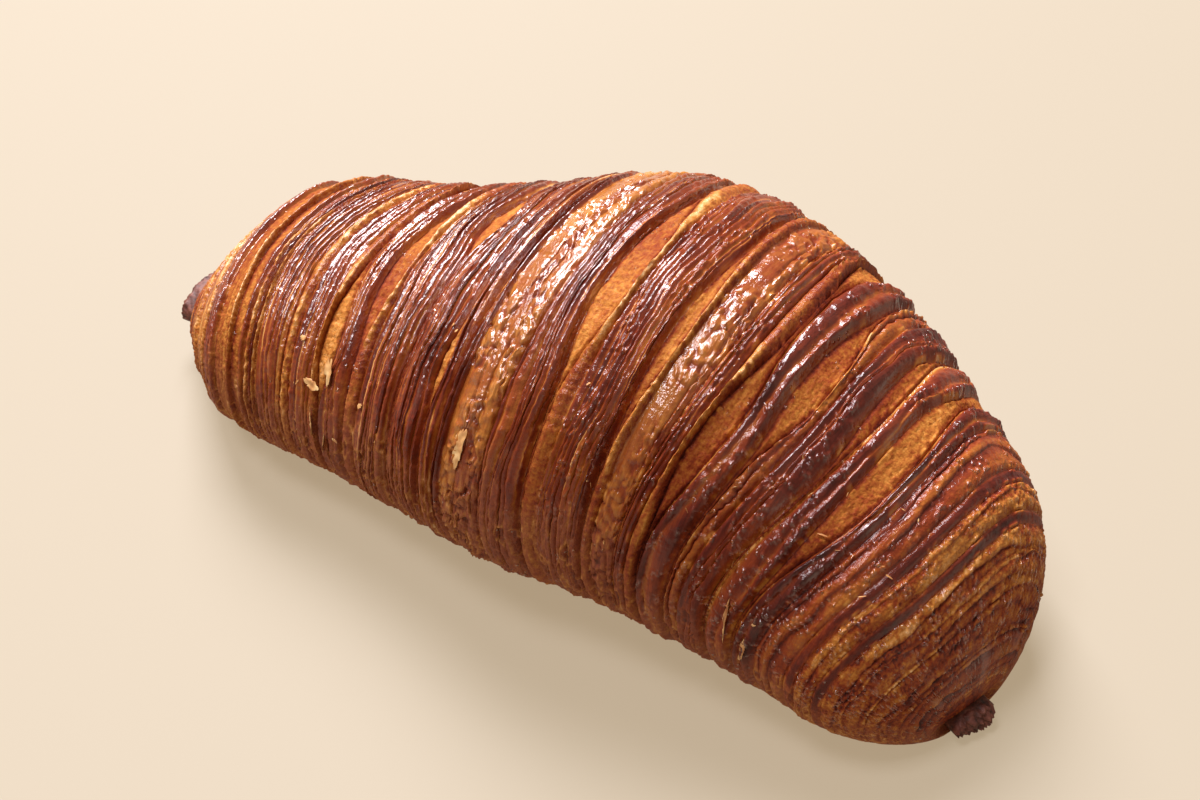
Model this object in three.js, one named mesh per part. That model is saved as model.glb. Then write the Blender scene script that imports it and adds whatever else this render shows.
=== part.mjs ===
// A pain suisse: one laminated viennoiserie, baked with its cut layers showing as ridges that
// run over it from one long foot to the other, and a strip of chocolate filling that runs
// through it and shows at both tips.
// Millimetres. +X runs from the narrow tip to the drooping tip, +Z is up, and the origin is on
// the resting plane below the middle of the whole thing.

import * as THREE from 'three';
import { LoftGeometry } from 'three/addons/geometries/LoftGeometry.js';

// The spine is a bent line on the resting plane, from the narrow tip to the drooping tip.
const NARROW_TIP = new THREE.Vector3(-71.6, -8.2, 0);
const DROOPING_TIP = new THREE.Vector3(72.6, -15.4, 0);
const NARROW_HEADING = 6;
const DROOPING_HEADING = -29;
const NARROW_REACH = 60;
const DROOPING_REACH = 52;

// Half width and height of the body at nine even steps along the spine.
const HALF_WIDTHS = [15.4, 25.4, 28.4, 32.0, 35.7, 33.8, 30.8, 26.0, 22];
const HEIGHTS = [21, 32.0, 35.6, 40.7, 48.8, 51.7, 46.0, 35.6, 28.4];

// A section is a slightly squared ellipse whose foot is cut flat by the resting plane.
const FOOT_DEPTH = 0.11;
const SQUARENESS = 0.92;
// The sections lean away from square to the spine, in degrees, at its start, middle and end.
const SECTION_LEAN = [4, -1, 8];

// The rounded ends: how far each reaches along the spine, the way over its surface, and, over
// the last share of the rounding, how deep the mouth of the filling is drawn in and how much
// further its floor is than its middle, and its brow less, so that the brow overhangs it.
const NARROW_END = { reach: 18, surface: 30, drawnIn: 0.8, brow: 0 };
const DROOPING_END = { reach: 14.5, surface: 28, drawnIn: 0.9, brow: 0.9 };
const DRAWN_SHARE = 0.22;

// The strip of filling at the two tips, with its centre above the resting plane and how far it
// stands out, and the gap between it and the hole that it fills.
const FILLING_HALF_WIDTH = { narrow: 7.0, drooping: 3.8 };
const FILLING_HALF_HEIGHT = { narrow: 3.1, drooping: 1.8 };
const FILLING_CENTRE = { narrow: 8.4, drooping: 2.5 };
const FILLING_OUT = { narrow: 4.0, drooping: 2.2 };
const FILLING_GAP = 0.4;
// Outside each tip the filling rounds off: how far out, as a share, and its size there. Its
// surface is crumbled by up to this many millimetres.
const FILLING_END = [[0.35, 1.0], [0.7, 0.96], [0.92, 0.8], [1, 0.45]];
const CRUMBLE = 0.6;

// Kinds of strip: how far the middle stands above the body's surface, how deep the seam beside
// it is cut, and how far its middle arches above its sides, all in millimetres.
const KINDS = {
  dark: { lift: 0.6, seam: 0.3, arch: 0.2 },
  groove: { lift: -0.15, seam: 0.1, arch: -0.05 },
  amber: { lift: -0.45, seam: 0.1, arch: -0.1 },
  lip: { lift: 0.55, seam: 0.15, arch: 0.2 },
  blistered: { lift: 0.3, seam: 0.2, arch: 0.1 },
  tan: { lift: 0.1, seam: 0.2, arch: 0.1 },
};

// The strips in order from the narrow tip: kind and width across at their widest. A strip that
// opens and closes like a spindle also has the angle round the body where it is widest, in
// degrees from the back over the crest, and the angle over which it closes. Last comes what a
// strip stands higher than its kind, or lies deeper.
const STRIPS = [
  ['lip', 2.0], ['tan', 6.5], ['groove', 2.5], ['tan', 5.0], ['lip', 2.5], ['tan', 4.7],
  ['lip', 1.2], ['dark', 3.4], ['amber', 3.5], ['lip', 1.1], ['amber', 1.9], ['dark', 1.4],
  ['lip', 1.1], ['dark', 0.8], ['lip', 0.7], ['dark', 5.4], ['lip', 2.1], ['dark', 4.3],
  ['lip', 0.7], ['amber', 3.2, 133, 27], ['dark', 2.9], ['amber', 3.4, 104, 34, -0.3],
  ['lip', 1.2], ['dark', 5.8], ['amber', 3.7, 85, 14], ['dark', 5.2], ['amber', 1.6, 134, 14],
  ['dark', 2.6], ['amber', 0.8, 115, 20], ['dark', 1.7], ['blistered', 8.5], ['dark', 5.5],
  ['amber', 4.8, 103, 31], ['lip', 1.1], ['dark', 7.5], ['amber', 2.3, 113, 30],
  ['lip', 1.1], ['blistered', 4.9], ['dark', 2.6], ['lip', 0.6], ['amber', 3.8, 128, 30],
  ['dark', 2.7, 0, 0, 0.3], ['amber', 3.5, 98, 27], ['dark', 5.1], ['amber', 2.0, 80, 30],
  ['dark', 2.6], ['amber', 3.7, 98, 50], ['dark', 2.2], ['tan', 5.3], ['groove', 1.9],
  ['amber', 3.2], ['groove', 1.6], ['tan', 6.0], ['tan', 4.5], ['tan', 5.2], ['lip', 2.6],
].map(([kind, width, widest = 90, closing = 0, extraLift = 0]) => (
  { ...KINDS[kind], width, widest, closing, extraLift }));
// A closed spindle keeps this share of its width. It is full up to the first of two shares of
// its closing angle and shut at the second, and it opens again this many degrees further back.
const CLOSED_SHARE = 0.12;
const SPINDLE_ENDS = [0.15, 1.15];
const OPENS_AGAIN = 85;
// The strips don't run square round the body. From this angle they lean on towards the drooping
// tip, or back from it, over these many degrees down the front and down the back, by these many
// millimetres at nine even steps of the way over the body.
const LEAN_FROM = 108;
const FRONT_LEAN_ANGLE = 75;
const BACK_LEAN_ANGLE = 55;
const FRONT_LEAN = [0, 2.4, 1.8, 0, -0.4, -2, -5.2, -4.8, 0];
const BACK_LEAN = [0, 1.5, 5, 2, 0, -0.8, -2.2, -2, 0];
// The relief grows to its full depth over this height above the resting plane, and over this
// share of a rounded end. At the tips it keeps this share of its depth.
const RELIEF_RISE = 12;
const RELIEF_END = 0.5;
const TIP_CALM = 0.45;

// Fineness: columns round a section over the body and across its flat foot, rows along the
// hole through it, and columns round the filling. The flat foot ends at this angle.
const CREST_COLUMNS = 29;
const FOOT_COLUMNS = 3;
const FOOT_ANGLE = 307;
const CREST_START = FOOT_ANGLE - 360;
const CREST_END = 180 - CREST_START;
const HOLE_ROWS = 10;
const FILLING_COLUMNS = 28;

const degrees = THREE.MathUtils.degToRad;
const smoothstep = THREE.MathUtils.smoothstep;
const mix = THREE.MathUtils.lerp;

function heading(angle) {
  return new THREE.Vector3(Math.cos(degrees(angle)), Math.sin(degrees(angle)), 0);
}

const spine = new THREE.CubicBezierCurve3(
  NARROW_TIP,
  NARROW_TIP.clone().addScaledVector(heading(NARROW_HEADING), NARROW_REACH),
  DROOPING_TIP.clone().addScaledVector(heading(DROOPING_HEADING), -DROOPING_REACH),
  DROOPING_TIP,
);
spine.arcLengthDivisions = 1000;
const spineLength = spine.getLength();

// A smooth curve through values at even steps, read at a share from 0 to 1.
function smoothValue(values, share) {
  const last = values.length - 1;
  const step = Math.min(Math.floor(share * last), last - 1);
  const at = (i) => values[Math.max(0, Math.min(last, i))];
  const t = share * last - step;
  const [a, b, c, d] = [at(step - 1), at(step), at(step + 1), at(step + 2)];
  return b + 0.5 * t * (c - a + t * (2 * a - 5 * b + 4 * c - d + t * (3 * (b - c) + d - a)));
}

// The plane of a section: its centre on the spine, the way along the spine, and the way across.
function sectionPlane(along) {
  const share = THREE.MathUtils.clamp(along / spineLength, 0, 1);
  const tangent = spine.getTangentAt(share);
  const centre = spine.getPointAt(share).addScaledVector(tangent, along - share * spineLength);
  const [start, middle, end] = SECTION_LEAN;
  const lean = share < 0.5 ? mix(start, middle, share * 2) : mix(middle, end, share * 2 - 1);
  const across = new THREE.Vector3(-tangent.y, tangent.x, 0);
  across.applyAxisAngle(new THREE.Vector3(0, 0, 1), degrees(lean));
  return { share, centre, tangent, across };
}

// Half width, half height and centre of the filling, grown by a gap for the hole that takes it.
function fillingSize(share, grow) {
  const between = ({ narrow, drooping }) => mix(narrow, drooping, share);
  return {
    halfWidth: between(FILLING_HALF_WIDTH) + grow,
    halfHeight: between(FILLING_HALF_HEIGHT) + grow,
    centre: between(FILLING_CENTRE),
  };
}

// A point of the body's surface, way millimetres along its surface from the narrow mouth,
// angle degrees round the section, and raised by height square to the surface.
const midLength = spineLength - NARROW_END.reach - DROOPING_END.reach;
const surfaceLength = NARROW_END.surface + midLength + DROOPING_END.surface;

function bodyPoint(way, angle, height) {
  const fromEnd = surfaceLength - way;
  const narrow = way < fromEnd;
  const end = narrow ? NARROW_END : DROOPING_END;
  const near = Math.min(way, fromEnd);
  const turn = (Math.PI / 2) * Math.min(near / end.surface, 1);
  const round = Math.sin(turn);
  const c = Math.cos(degrees(angle));
  const s = Math.sin(degrees(angle));
  let inward = end.reach * (1 - Math.cos(turn)) + Math.max(near - end.surface, 0);
  inward += (end.drawnIn - end.brow * s) * (1 - smoothstep(round, 0, DRAWN_SHARE));
  const along = narrow ? inward : spineLength - inward;
  const { share, centre, tangent, across } = sectionPlane(along);

  const mouth = fillingSize(share, FILLING_GAP);
  const bodyHeight = smoothValue(HEIGHTS, share);
  const halfWidth = mix(mouth.halfWidth, smoothValue(HALF_WIDTHS, share), round);
  const top = mix(mouth.centre + mouth.halfHeight, bodyHeight, round);
  const low = mix(mouth.centre - mouth.halfHeight, -FOOT_DEPTH * bodyHeight, round);

  const out = halfWidth * Math.sign(c) * Math.abs(c) ** SQUARENESS;
  const up = Math.max((top + low) / 2 + ((top - low) / 2) * s, 0);

  const calm = mix(TIP_CALM, 1, Math.sin(Math.PI * share) ** 0.8);
  const fade = smoothstep(up, 0, RELIEF_RISE) * smoothstep(round, 0, RELIEF_END);
  const rise = height * calm * fade;
  const flatNormal = new THREE.Vector2(c * (top - low) / 2, s * halfWidth).normalize();
  const outward = new THREE.Vector3(0, 0, flatNormal.y)
    .addScaledVector(across, flatNormal.x)
    .multiplyScalar(round)
    .addScaledVector(tangent, (narrow ? -1 : 1) * Math.cos(turn));
  const point = centre.addScaledVector(across, out).addScaledVector(outward, rise);
  point.z += up;
  return point;
}

// How open a spindle is at an angle: 1 where it is widest, down to the closed share.
function openness(strip, angle) {
  if (strip.closing === 0) return 1;
  const nearest = Math.min(Math.abs(angle - strip.widest),
    Math.abs(angle - strip.widest + OPENS_AGAIN));
  return mix(1, CLOSED_SHARE, smoothstep(nearest / strip.closing, ...SPINDLE_ENDS));
}

// Where each seam between strips lies at an angle. What a closing spindle gives up, its two
// neighbours take, so the seams further off stay put.
function seams(angle) {
  const widths = STRIPS.map((strip) => strip.width);
  STRIPS.forEach((strip, i) => {
    if (strip.closing === 0) return;
    const given = strip.width * (1 - openness(strip, angle));
    widths[i] -= given;
    widths[i - 1] += given / 2;
    widths[i + 1] += given / 2;
  });
  const total = widths.reduce((sum, width) => sum + width, 0);
  const edges = [0];
  widths.forEach((width) => edges.push(edges.at(-1) + (width * surfaceLength) / total));
  const underFoot = THREE.MathUtils.clamp((angle - CREST_END) / (FOOT_ANGLE - CREST_END), 0, 1);
  const front = smoothstep(angle - LEAN_FROM, 0, FRONT_LEAN_ANGLE) * (1 - underFoot);
  const back = Math.max(smoothstep(LEAN_FROM - angle, 0, BACK_LEAN_ANGLE), underFoot);
  return edges.map((edge) => {
    const share = Math.min(edge / surfaceLength, 1);
    return edge + front * smoothValue(FRONT_LEAN, share) + back * smoothValue(BACK_LEAN, share);
  });
}

// The places across a strip that get a row of points: more on a wider strip.
function rowPlaces(strip) {
  if (strip.width >= 4) return [0.18, 0.5, 0.82];
  return strip.width >= 1.5 ? [0.28, 0.72] : [0.5];
}

function seamHeight(before, after) {
  if (!before || !after) return 0;
  return Math.min(before.lift, after.lift) - (before.seam + after.seam) / 2;
}

// Every row of the relief: the strip that it is in, its place across, and its height.
const reliefRows = STRIPS.flatMap((strip, i) => {
  const seam = { strip: i, place: 0, height: seamHeight(STRIPS[i - 1], strip) };
  const rows = rowPlaces(strip).map((place) => {
    const crown = strip.arch * (1 - (2 * place - 1) ** 2 * 2);
    return { strip: i, place, height: strip.lift + strip.extraLift + crown };
  });
  return [seam, ...rows];
});

// Angles round a section: evenly over the crest, then a few across the flat foot.
function evenAngles(from, to, columns) {
  return Array.from({ length: columns }, (_, j) => mix(from, to, j / columns));
}
const columnAngles = [
  ...evenAngles(CREST_START, CREST_END, CREST_COLUMNS),
  ...evenAngles(CREST_END, FOOT_ANGLE, FOOT_COLUMNS),
];
const columnSeams = columnAngles.map(seams);

function reliefSection(row) {
  return columnAngles.map((angle, j) => {
    const edges = columnSeams[j];
    const way = mix(edges[row.strip], edges[row.strip + 1], row.place);
    const open = openness(STRIPS[row.strip], angle);
    return bodyPoint(way, angle, row.height * Math.sqrt(open));
  });
}

// A section of the strip of filling, or of the hole that takes it.
function fillingSection(along, angles, grow, scale = 1) {
  const { share, centre, across } = sectionPlane(along);
  const size = fillingSize(share, grow);
  return angles.map((angle) => {
    const c = Math.cos(degrees(angle));
    const s = Math.sin(degrees(angle));
    const out = size.halfWidth * scale * Math.sign(c) * Math.abs(c) ** SQUARENESS;
    const point = centre.clone().addScaledVector(across, out);
    point.z = size.centre + size.halfHeight * scale * s;
    return point;
  });
}

// The body: its relief from tip to tip, then back through the hole to where it began.
const bodySections = reliefRows.map(reliefSection);
bodySections.push(columnAngles.map((angle) => bodyPoint(surfaceLength, angle, 0)));
for (let i = 1; i < HOLE_ROWS; i += 1) {
  const along = spineLength * (1 - i / HOLE_ROWS);
  bodySections.push(fillingSection(along, columnAngles, FILLING_GAP));
}
bodySections.push(bodySections[0]);

// The filling: an even strip inside the body, swollen and crumbled where it stands out.
const fillingAngles = evenAngles(0, 360, FILLING_COLUMNS);

function crumbled(along, scale) {
  const { tangent } = sectionPlane(along);
  return fillingSection(along, fillingAngles, 0, scale).map((point, j) => {
    const wobble = Math.sin(j * 2.4 + along) * Math.cos(j * 1.1 - along * 0.7);
    return point.addScaledVector(tangent, CRUMBLE * scale * wobble);
  });
}

const fillingSections = [];
[...FILLING_END].reverse().forEach(([out, scale]) => {
  fillingSections.push(crumbled(-FILLING_OUT.narrow * out, scale));
});
for (let i = 0; i <= HOLE_ROWS; i += 1) {
  fillingSections.push(fillingSection((spineLength * i) / HOLE_ROWS, fillingAngles, 0));
}
FILLING_END.forEach(([out, scale]) => {
  fillingSections.push(crumbled(spineLength + FILLING_OUT.drooping * out, scale));
});

function namedMesh(name, geometry, finish) {
  const mesh = new THREE.Mesh(geometry, new THREE.MeshStandardMaterial(finish));
  mesh.name = name;
  return mesh;
}

const painSuisse = new THREE.Group();
painSuisse.add(namedMesh('laminated_pastry', new LoftGeometry(bodySections),
  { color: 0x8a4a20, roughness: 0.35, metalness: 0 }));
painSuisse.add(namedMesh('chocolate_filling',
  new LoftGeometry(fillingSections, { capStart: true, capEnd: true }),
  { color: 0x3a221a, roughness: 0.6, metalness: 0 }));

export default painSuisse;
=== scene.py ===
import math
from typing import NamedTuple

import bpy
import numpy as np
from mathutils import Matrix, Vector


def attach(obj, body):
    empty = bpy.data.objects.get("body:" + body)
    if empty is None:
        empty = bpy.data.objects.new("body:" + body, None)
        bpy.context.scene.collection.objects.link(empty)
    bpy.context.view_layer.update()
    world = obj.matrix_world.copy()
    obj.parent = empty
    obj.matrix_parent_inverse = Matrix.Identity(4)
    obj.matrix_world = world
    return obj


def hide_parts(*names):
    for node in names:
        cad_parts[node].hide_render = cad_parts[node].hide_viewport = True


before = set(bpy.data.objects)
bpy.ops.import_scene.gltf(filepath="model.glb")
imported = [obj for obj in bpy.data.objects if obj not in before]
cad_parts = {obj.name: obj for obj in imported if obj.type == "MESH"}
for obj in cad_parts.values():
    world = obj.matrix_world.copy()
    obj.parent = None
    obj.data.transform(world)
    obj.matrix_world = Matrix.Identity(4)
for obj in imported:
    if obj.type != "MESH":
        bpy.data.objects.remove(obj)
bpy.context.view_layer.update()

# The form of the pastry. It is a roll of laminated dough that was proofed and baked lying on
# one flat foot, so it follows a bent spine on the resting plane and rounds off at two tips.
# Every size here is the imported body's own, in millimetres, and all pieces are laid out on it.
MM = 0.001
NARROW_TIP = np.array([-71.6, -8.2])
DROOPING_TIP = np.array([72.6, -15.4])
NARROW_HEADING = 6
DROOPING_HEADING = -29
NARROW_REACH = 60
DROOPING_REACH = 52
SPINE_STEPS = 2000
HALF_WIDTHS = [15.4, 25.4, 28.4, 32.0, 35.7, 33.8, 30.8, 26.0, 22]
HEIGHTS = [21, 32.0, 35.6, 40.7, 48.8, 51.7, 46.0, 35.6, 28.4]
FOOT_DEPTH = 0.11
SQUARENESS = 0.92
SECTION_LEAN = [4, -1, 8]
NARROW_END = {"reach": 18, "surface": 30, "drawn_in": 0.8, "brow": 0}
DROOPING_END = {"reach": 14.5, "surface": 28, "drawn_in": 0.9, "brow": 0.9}
DRAWN_SHARE = 0.22
FILLING_HALF_WIDTH = (7.0, 3.8)
FILLING_HALF_HEIGHT = (3.1, 1.8)
FILLING_CENTRE = (8.4, 2.5)
FILLING_GAP = 0.4
RELIEF_RISE = 12
RELIEF_END = 0.5
TIP_CALM = 0.45
CALM_POWER = 0.8
FOOT_ANGLE = 307
CREST_START = FOOT_ANGLE - 360
CREST_END = 180 - CREST_START


def heading(angle):
    return np.array([math.cos(math.radians(angle)), math.sin(math.radians(angle))])


def mix(a, b, share):
    return a + (b - a) * share


def smoothstep(low, high, value):
    share = np.clip((value - low) / (high - low), 0, 1)
    return share * share * (3 - 2 * share)


narrow_handle = NARROW_TIP + NARROW_REACH * heading(NARROW_HEADING)
drooping_handle = DROOPING_TIP - DROOPING_REACH * heading(DROOPING_HEADING)
steps = np.linspace(0, 1, SPINE_STEPS + 1)[:, None]
spine = (1 - steps) ** 3 * NARROW_TIP + 3 * (1 - steps) ** 2 * steps * narrow_handle
spine = spine + 3 * (1 - steps) * steps**2 * drooping_handle + steps**3 * DROOPING_TIP
spine_way = np.append(0, np.cumsum(np.linalg.norm(np.diff(spine, axis=0), axis=1)))
spine_slope = np.gradient(spine, spine_way, axis=0)
spine_length = spine_way[-1]
surface_length = (NARROW_END["surface"] + DROOPING_END["surface"]
                  + spine_length - NARROW_END["reach"] - DROOPING_END["reach"])


def smooth_value(values, share):
    """A smooth curve through values at even steps, read at a share from 0 to 1."""
    values = np.array([values[0], *values, values[-1]], float)
    last = len(values) - 3
    step = np.minimum((share * last).astype(int), last - 1)
    t = share * last - step
    a, b, c, d = (values[step + i] for i in range(4))
    return b + 0.5 * t * (c - a + t * (2 * a - 5 * b + 4 * c - d + t * (3 * (b - c) + d - a)))


def on_spine(curve, along):
    """What goes with each point of the spine, read at these lengths along it."""
    return np.stack([np.interp(along, spine_way, curve[:, i]) for i in range(2)], -1)


def section_plane(along):
    """Share of the spine, centre, way along and way across of sections at these lengths."""
    inside = np.clip(along, 0, spine_length)
    tangent = on_spine(spine_slope, inside)
    tangent /= np.linalg.norm(tangent, axis=-1, keepdims=True)
    centre = on_spine(spine, inside) + tangent * (along - inside)[..., None]
    share = inside / spine_length
    lean = np.radians(np.interp(share, [0, 0.5, 1], SECTION_LEAN))
    across = np.stack([
        -tangent[..., 1] * np.cos(lean) - tangent[..., 0] * np.sin(lean),
        tangent[..., 0] * np.cos(lean) - tangent[..., 1] * np.sin(lean),
    ], -1)
    return share, centre, tangent, across


def squared(angle):
    """How far out a section is at an angle, from -1 to 1: a little squarer than a circle."""
    c = np.cos(np.radians(angle))
    return np.sign(c) * np.abs(c) ** SQUARENESS


def filling_section(share, gap):
    """Half the width, half the height and the middle's height of the filling with a gap
    round it, at a share of the spine."""
    return (mix(*FILLING_HALF_WIDTH, share) + gap, mix(*FILLING_HALF_HEIGHT, share) + gap,
            mix(*FILLING_CENTRE, share))


def placed(centre, across, out, up):
    """Points so far out of a centre and so high up, in metres."""
    return np.concatenate([centre + across * out[..., None], up[..., None]], -1) * MM


def end_value(narrow, name):
    return np.where(narrow, NARROW_END[name], DROOPING_END[name])


def below(way, angle):
    """Length along the spine below a place on the crust, how far its end has rounded off
    there, as an angle, and whether that is the narrow end."""
    narrow = way < surface_length / 2
    near = np.minimum(way, surface_length - way)
    turn = np.pi / 2 * np.clip(near / end_value(narrow, "surface"), 0, 1)
    inward = end_value(narrow, "reach") * (1 - np.cos(turn))
    inward = inward + np.maximum(near - end_value(narrow, "surface"), 0)
    mouth = 1 - smoothstep(0, DRAWN_SHARE, np.sin(turn))
    brow = end_value(narrow, "brow") * np.sin(np.radians(angle))
    inward = inward + (end_value(narrow, "drawn_in") - brow) * mouth
    return np.where(narrow, inward, spine_length - inward), turn, narrow


def body_point(way, angle, height):
    """Points of the crust, way millimetres over it from the narrow mouth, angle degrees
    round from the back over the crest, and height millimetres proud of it, in metres."""
    along, turn, narrow = below(way, angle)
    bulge = np.sin(turn)
    share, centre, tangent, across = section_plane(along)
    hole_width, hole_height, middle = filling_section(share, FILLING_GAP)
    tall = smooth_value(HEIGHTS, share)
    wide = mix(hole_width, smooth_value(HALF_WIDTHS, share), bulge)
    top = mix(middle + hole_height, tall, bulge)
    low = mix(middle - hole_height, -FOOT_DEPTH * tall, bulge)
    c, s = np.cos(np.radians(angle)), np.sin(np.radians(angle))
    up = np.maximum((top + low) / 2 + (top - low) / 2 * s, 0)
    normal = np.stack(np.broadcast_arrays(c * (top - low) / 2, s * wide), -1)
    normal = normal / np.linalg.norm(normal, axis=-1, keepdims=True)
    calm = mix(TIP_CALM, 1, np.sin(np.pi * share) ** CALM_POWER)
    rise = height * calm * smoothstep(0, RELIEF_RISE, up) * smoothstep(0, RELIEF_END, bulge)
    endways = tangent * (rise * np.where(narrow, -1, 1) * np.cos(turn))[..., None]
    out = wide * squared(angle) + rise * bulge * normal[..., 0]
    return placed(centre + endways, across, out, up + rise * bulge * normal[..., 1])


# The layer edges. Rolling and cutting the dough leaves its layers on edge, and they bake as
# strips that run round the roll: dark glazed ridges, amber valleys between them that open and
# close like spindles, pale crisp lips, and skins of glaze that blistered.
class Kind(NamedTuple):
    """How one kind of strip stands, in millimetres, how steep its fine ribs are, and how
    baked, glazed and crumbly it is, from 0 to 1."""

    lift: float
    seam: float
    arch: float
    steepness: float
    bake: float
    glaze: float
    crumb: float


KINDS = {
    "dark": Kind(lift=0.6, seam=0.3, arch=0.2, steepness=0.46, bake=0.78, glaze=1.0, crumb=0.15),
    "groove": Kind(lift=-0.15, seam=0.1, arch=-0.05, steepness=0.3, bake=0.8, glaze=0.5, crumb=0.3),
    "amber": Kind(lift=-0.45, seam=0.1, arch=-0.1, steepness=0.16, bake=0.44, glaze=0.02, crumb=1.0),
    "lip": Kind(lift=0.55, seam=0.15, arch=0.2, steepness=0.3, bake=0.14, glaze=0.3, crumb=1.0),
    "blistered": Kind(lift=0.3, seam=0.2, arch=0.1, steepness=0.3, bake=0.52, glaze=1.0, crumb=0.2),
    "tan": Kind(lift=0.1, seam=0.2, arch=0.1, steepness=0.34, bake=0.5, glaze=0.5, crumb=0.5),
    "rough": Kind(lift=0.1, seam=0.2, arch=0.1, steepness=0.24, bake=0.53, glaze=0.3, crumb=1.0),
    "stained": Kind(lift=0.1, seam=0.2, arch=0.1, steepness=0.34, bake=0.65, glaze=0.7, crumb=0.5),
}


class Strip(NamedTuple):
    """One strip: its kind, its width in millimetres and how many fine ribs it is made of. A
    spindle has the angle where it is widest and the angle over which it closes, and a lip
    has the angles between which it stayed pale. A strip may be raised more than its kind."""

    kind: str
    width: float
    ribs: int = 1
    spindle: tuple = ()
    pale: tuple = ()
    raised: float = 0


# All strips, from the narrow tip to the drooping one.
STRIPS = [
    Strip("lip", 2.0, pale=(0, 180)), Strip("tan", 6.5, 5), Strip("groove", 2.5, 2),
    Strip("tan", 5.0, 4), Strip("lip", 2.5, 2, pale=(60, 200)), Strip("tan", 4.7, 4),
    Strip("lip", 1.2, pale=(90, 170)), Strip("dark", 3.4, 3), Strip("amber", 3.5, 3),
    Strip("lip", 1.1, pale=(95, 160)), Strip("amber", 1.9), Strip("dark", 1.4),
    Strip("lip", 1.1, pale=(95, 200)), Strip("dark", 0.8), Strip("lip", 0.7, pale=(90, 180)),
    Strip("dark", 5.4, 6), Strip("lip", 2.1, pale=(60, 200)), Strip("dark", 4.3, 5),
    Strip("lip", 0.7, pale=(103, 152)), Strip("amber", 3.2, spindle=(133, 27)),
    Strip("dark", 2.9, 4), Strip("amber", 3.4, spindle=(104, 34), raised=-0.3),
    Strip("lip", 1.2, pale=(72, 137)), Strip("dark", 5.8, 8),
    Strip("amber", 3.7, spindle=(85, 14)), Strip("dark", 5.2, 7),
    Strip("amber", 1.6, spindle=(134, 14)), Strip("dark", 2.6, 4),
    Strip("amber", 0.8, spindle=(115, 20)), Strip("dark", 1.7, 2), Strip("blistered", 8.5, 3),
    Strip("dark", 5.5, 8), Strip("amber", 4.8, spindle=(103, 31)),
    Strip("lip", 1.1, pale=(70, 128)), Strip("dark", 7.5, 10),
    Strip("amber", 2.3, spindle=(113, 30)), Strip("lip", 1.1, pale=(84, 150)),
    Strip("blistered", 4.9, 2), Strip("dark", 2.6, 3), Strip("lip", 0.6, pale=(100, 145)),
    Strip("amber", 3.8, spindle=(128, 30)), Strip("dark", 2.7, 2, raised=0.1),
    Strip("amber", 3.5, spindle=(98, 27)), Strip("stained", 1.2, 2),
    Strip("dark", 3.9, 3, raised=-0.1), Strip("amber", 2.0, spindle=(80, 30)),
    Strip("dark", 2.6, 2, raised=-0.1), Strip("amber", 3.7, spindle=(98, 50)),
    Strip("dark", 2.2, 2), Strip("stained", 5.3, 3), Strip("groove", 1.9), Strip("rough", 3.2, 2),
    Strip("groove", 1.6), Strip("rough", 6.0, 5), Strip("rough", 4.5, 3),
    Strip("stained", 5.2, 4), Strip("lip", 2.6, 2, pale=(0, 0)),
]
CLOSED_SHARE = 0.12
SPINDLE_ENDS = (0.15, 1.15)
OPENS_AGAIN = 85
LEAN_FROM = 108
FRONT_LEAN_ANGLE = 75
BACK_LEAN_ANGLE = 55
FRONT_LEAN = [0, 2.4, 1.8, 0, -0.4, -2, -5.2, -4.8, 0]
BACK_LEAN = [0, 1.5, 5, 2, 0, -0.8, -2.2, -2, 0]


def openness(strip, angle):
    """How open a spindle is at each angle: 1 where it is widest, down to the closed share."""
    if not strip.spindle:
        return np.ones_like(angle)
    widest, closing = strip.spindle
    nearest = np.minimum(np.abs(angle - widest), np.abs(angle - widest + OPENS_AGAIN))
    return mix(1, CLOSED_SHARE, smoothstep(*SPINDLE_ENDS, nearest / closing))


def seams(angle):
    """The way to each seam between strips, at each angle, one row for each seam. What a
    spindle gives up where it closes goes to the strips beside it."""
    widths = np.array([np.full_like(angle, strip.width) for strip in STRIPS])
    for i, strip in enumerate(STRIPS):
        if strip.spindle:
            given = strip.width * (1 - openness(strip, angle))
            widths[i] -= given
            widths[i - 1] += given / 2
            widths[i + 1] += given / 2
    edges = np.vstack([np.zeros_like(angle), np.cumsum(widths, axis=0)])
    share = edges / edges[-1]
    under_foot = np.clip((angle - CREST_END) / (FOOT_ANGLE - CREST_END), 0, 1)
    front = smoothstep(0, FRONT_LEAN_ANGLE, angle - LEAN_FROM) * (1 - under_foot)
    back = np.maximum(smoothstep(0, BACK_LEAN_ANGLE, LEAN_FROM - angle), under_foot)
    lean = front * smooth_value(FRONT_LEAN, share) + back * smooth_value(BACK_LEAN, share)
    return share * surface_length + lean


# The laminated crust, baked dough all through. It is made as it is in the bakery: sheets are
# rolled round the filling, each from one seam to another, and closed on themselves. Each
# sheet is a fine grid whose lines follow the ribs, so ribs, bubbles and edges are real relief.
CREST_COLUMNS = 552
FOOT_COLUMNS = 8
SHEETS = 9
SHEET_ROWS = 166
FEWEST_RIB_ROWS = 4
HOLE_ROWS = 3
MOUTH_DEPTH = 6
ARC_RADIUS = 30
SAME_POINT = 1e-6
SOFT_EDGE_ANGLE = 70
FIRST_STRIP_SEED = 100
TABLE_SIDE = 256

# Sizes of the relief of ribs and edges, in millimetres, but for the shares.
SHOULDER = 0.8
SHOULDER_SHARE = 0.38
RIB_UNEVENNESS = 0.16
WIDEST_STEEP_RIB = 1.3
RIDGE_LEVEL = 0.7
FRAY_MARGIN = 0.25
FRAY_HEIGHT = 0.25
SPLINTER_HEIGHT = 0.4
LIP_WIDTH_SHARE = 0.28
LIP_HEIGHT = 0.3
LIP_CRUMB_HEIGHT = 0.14

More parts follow.
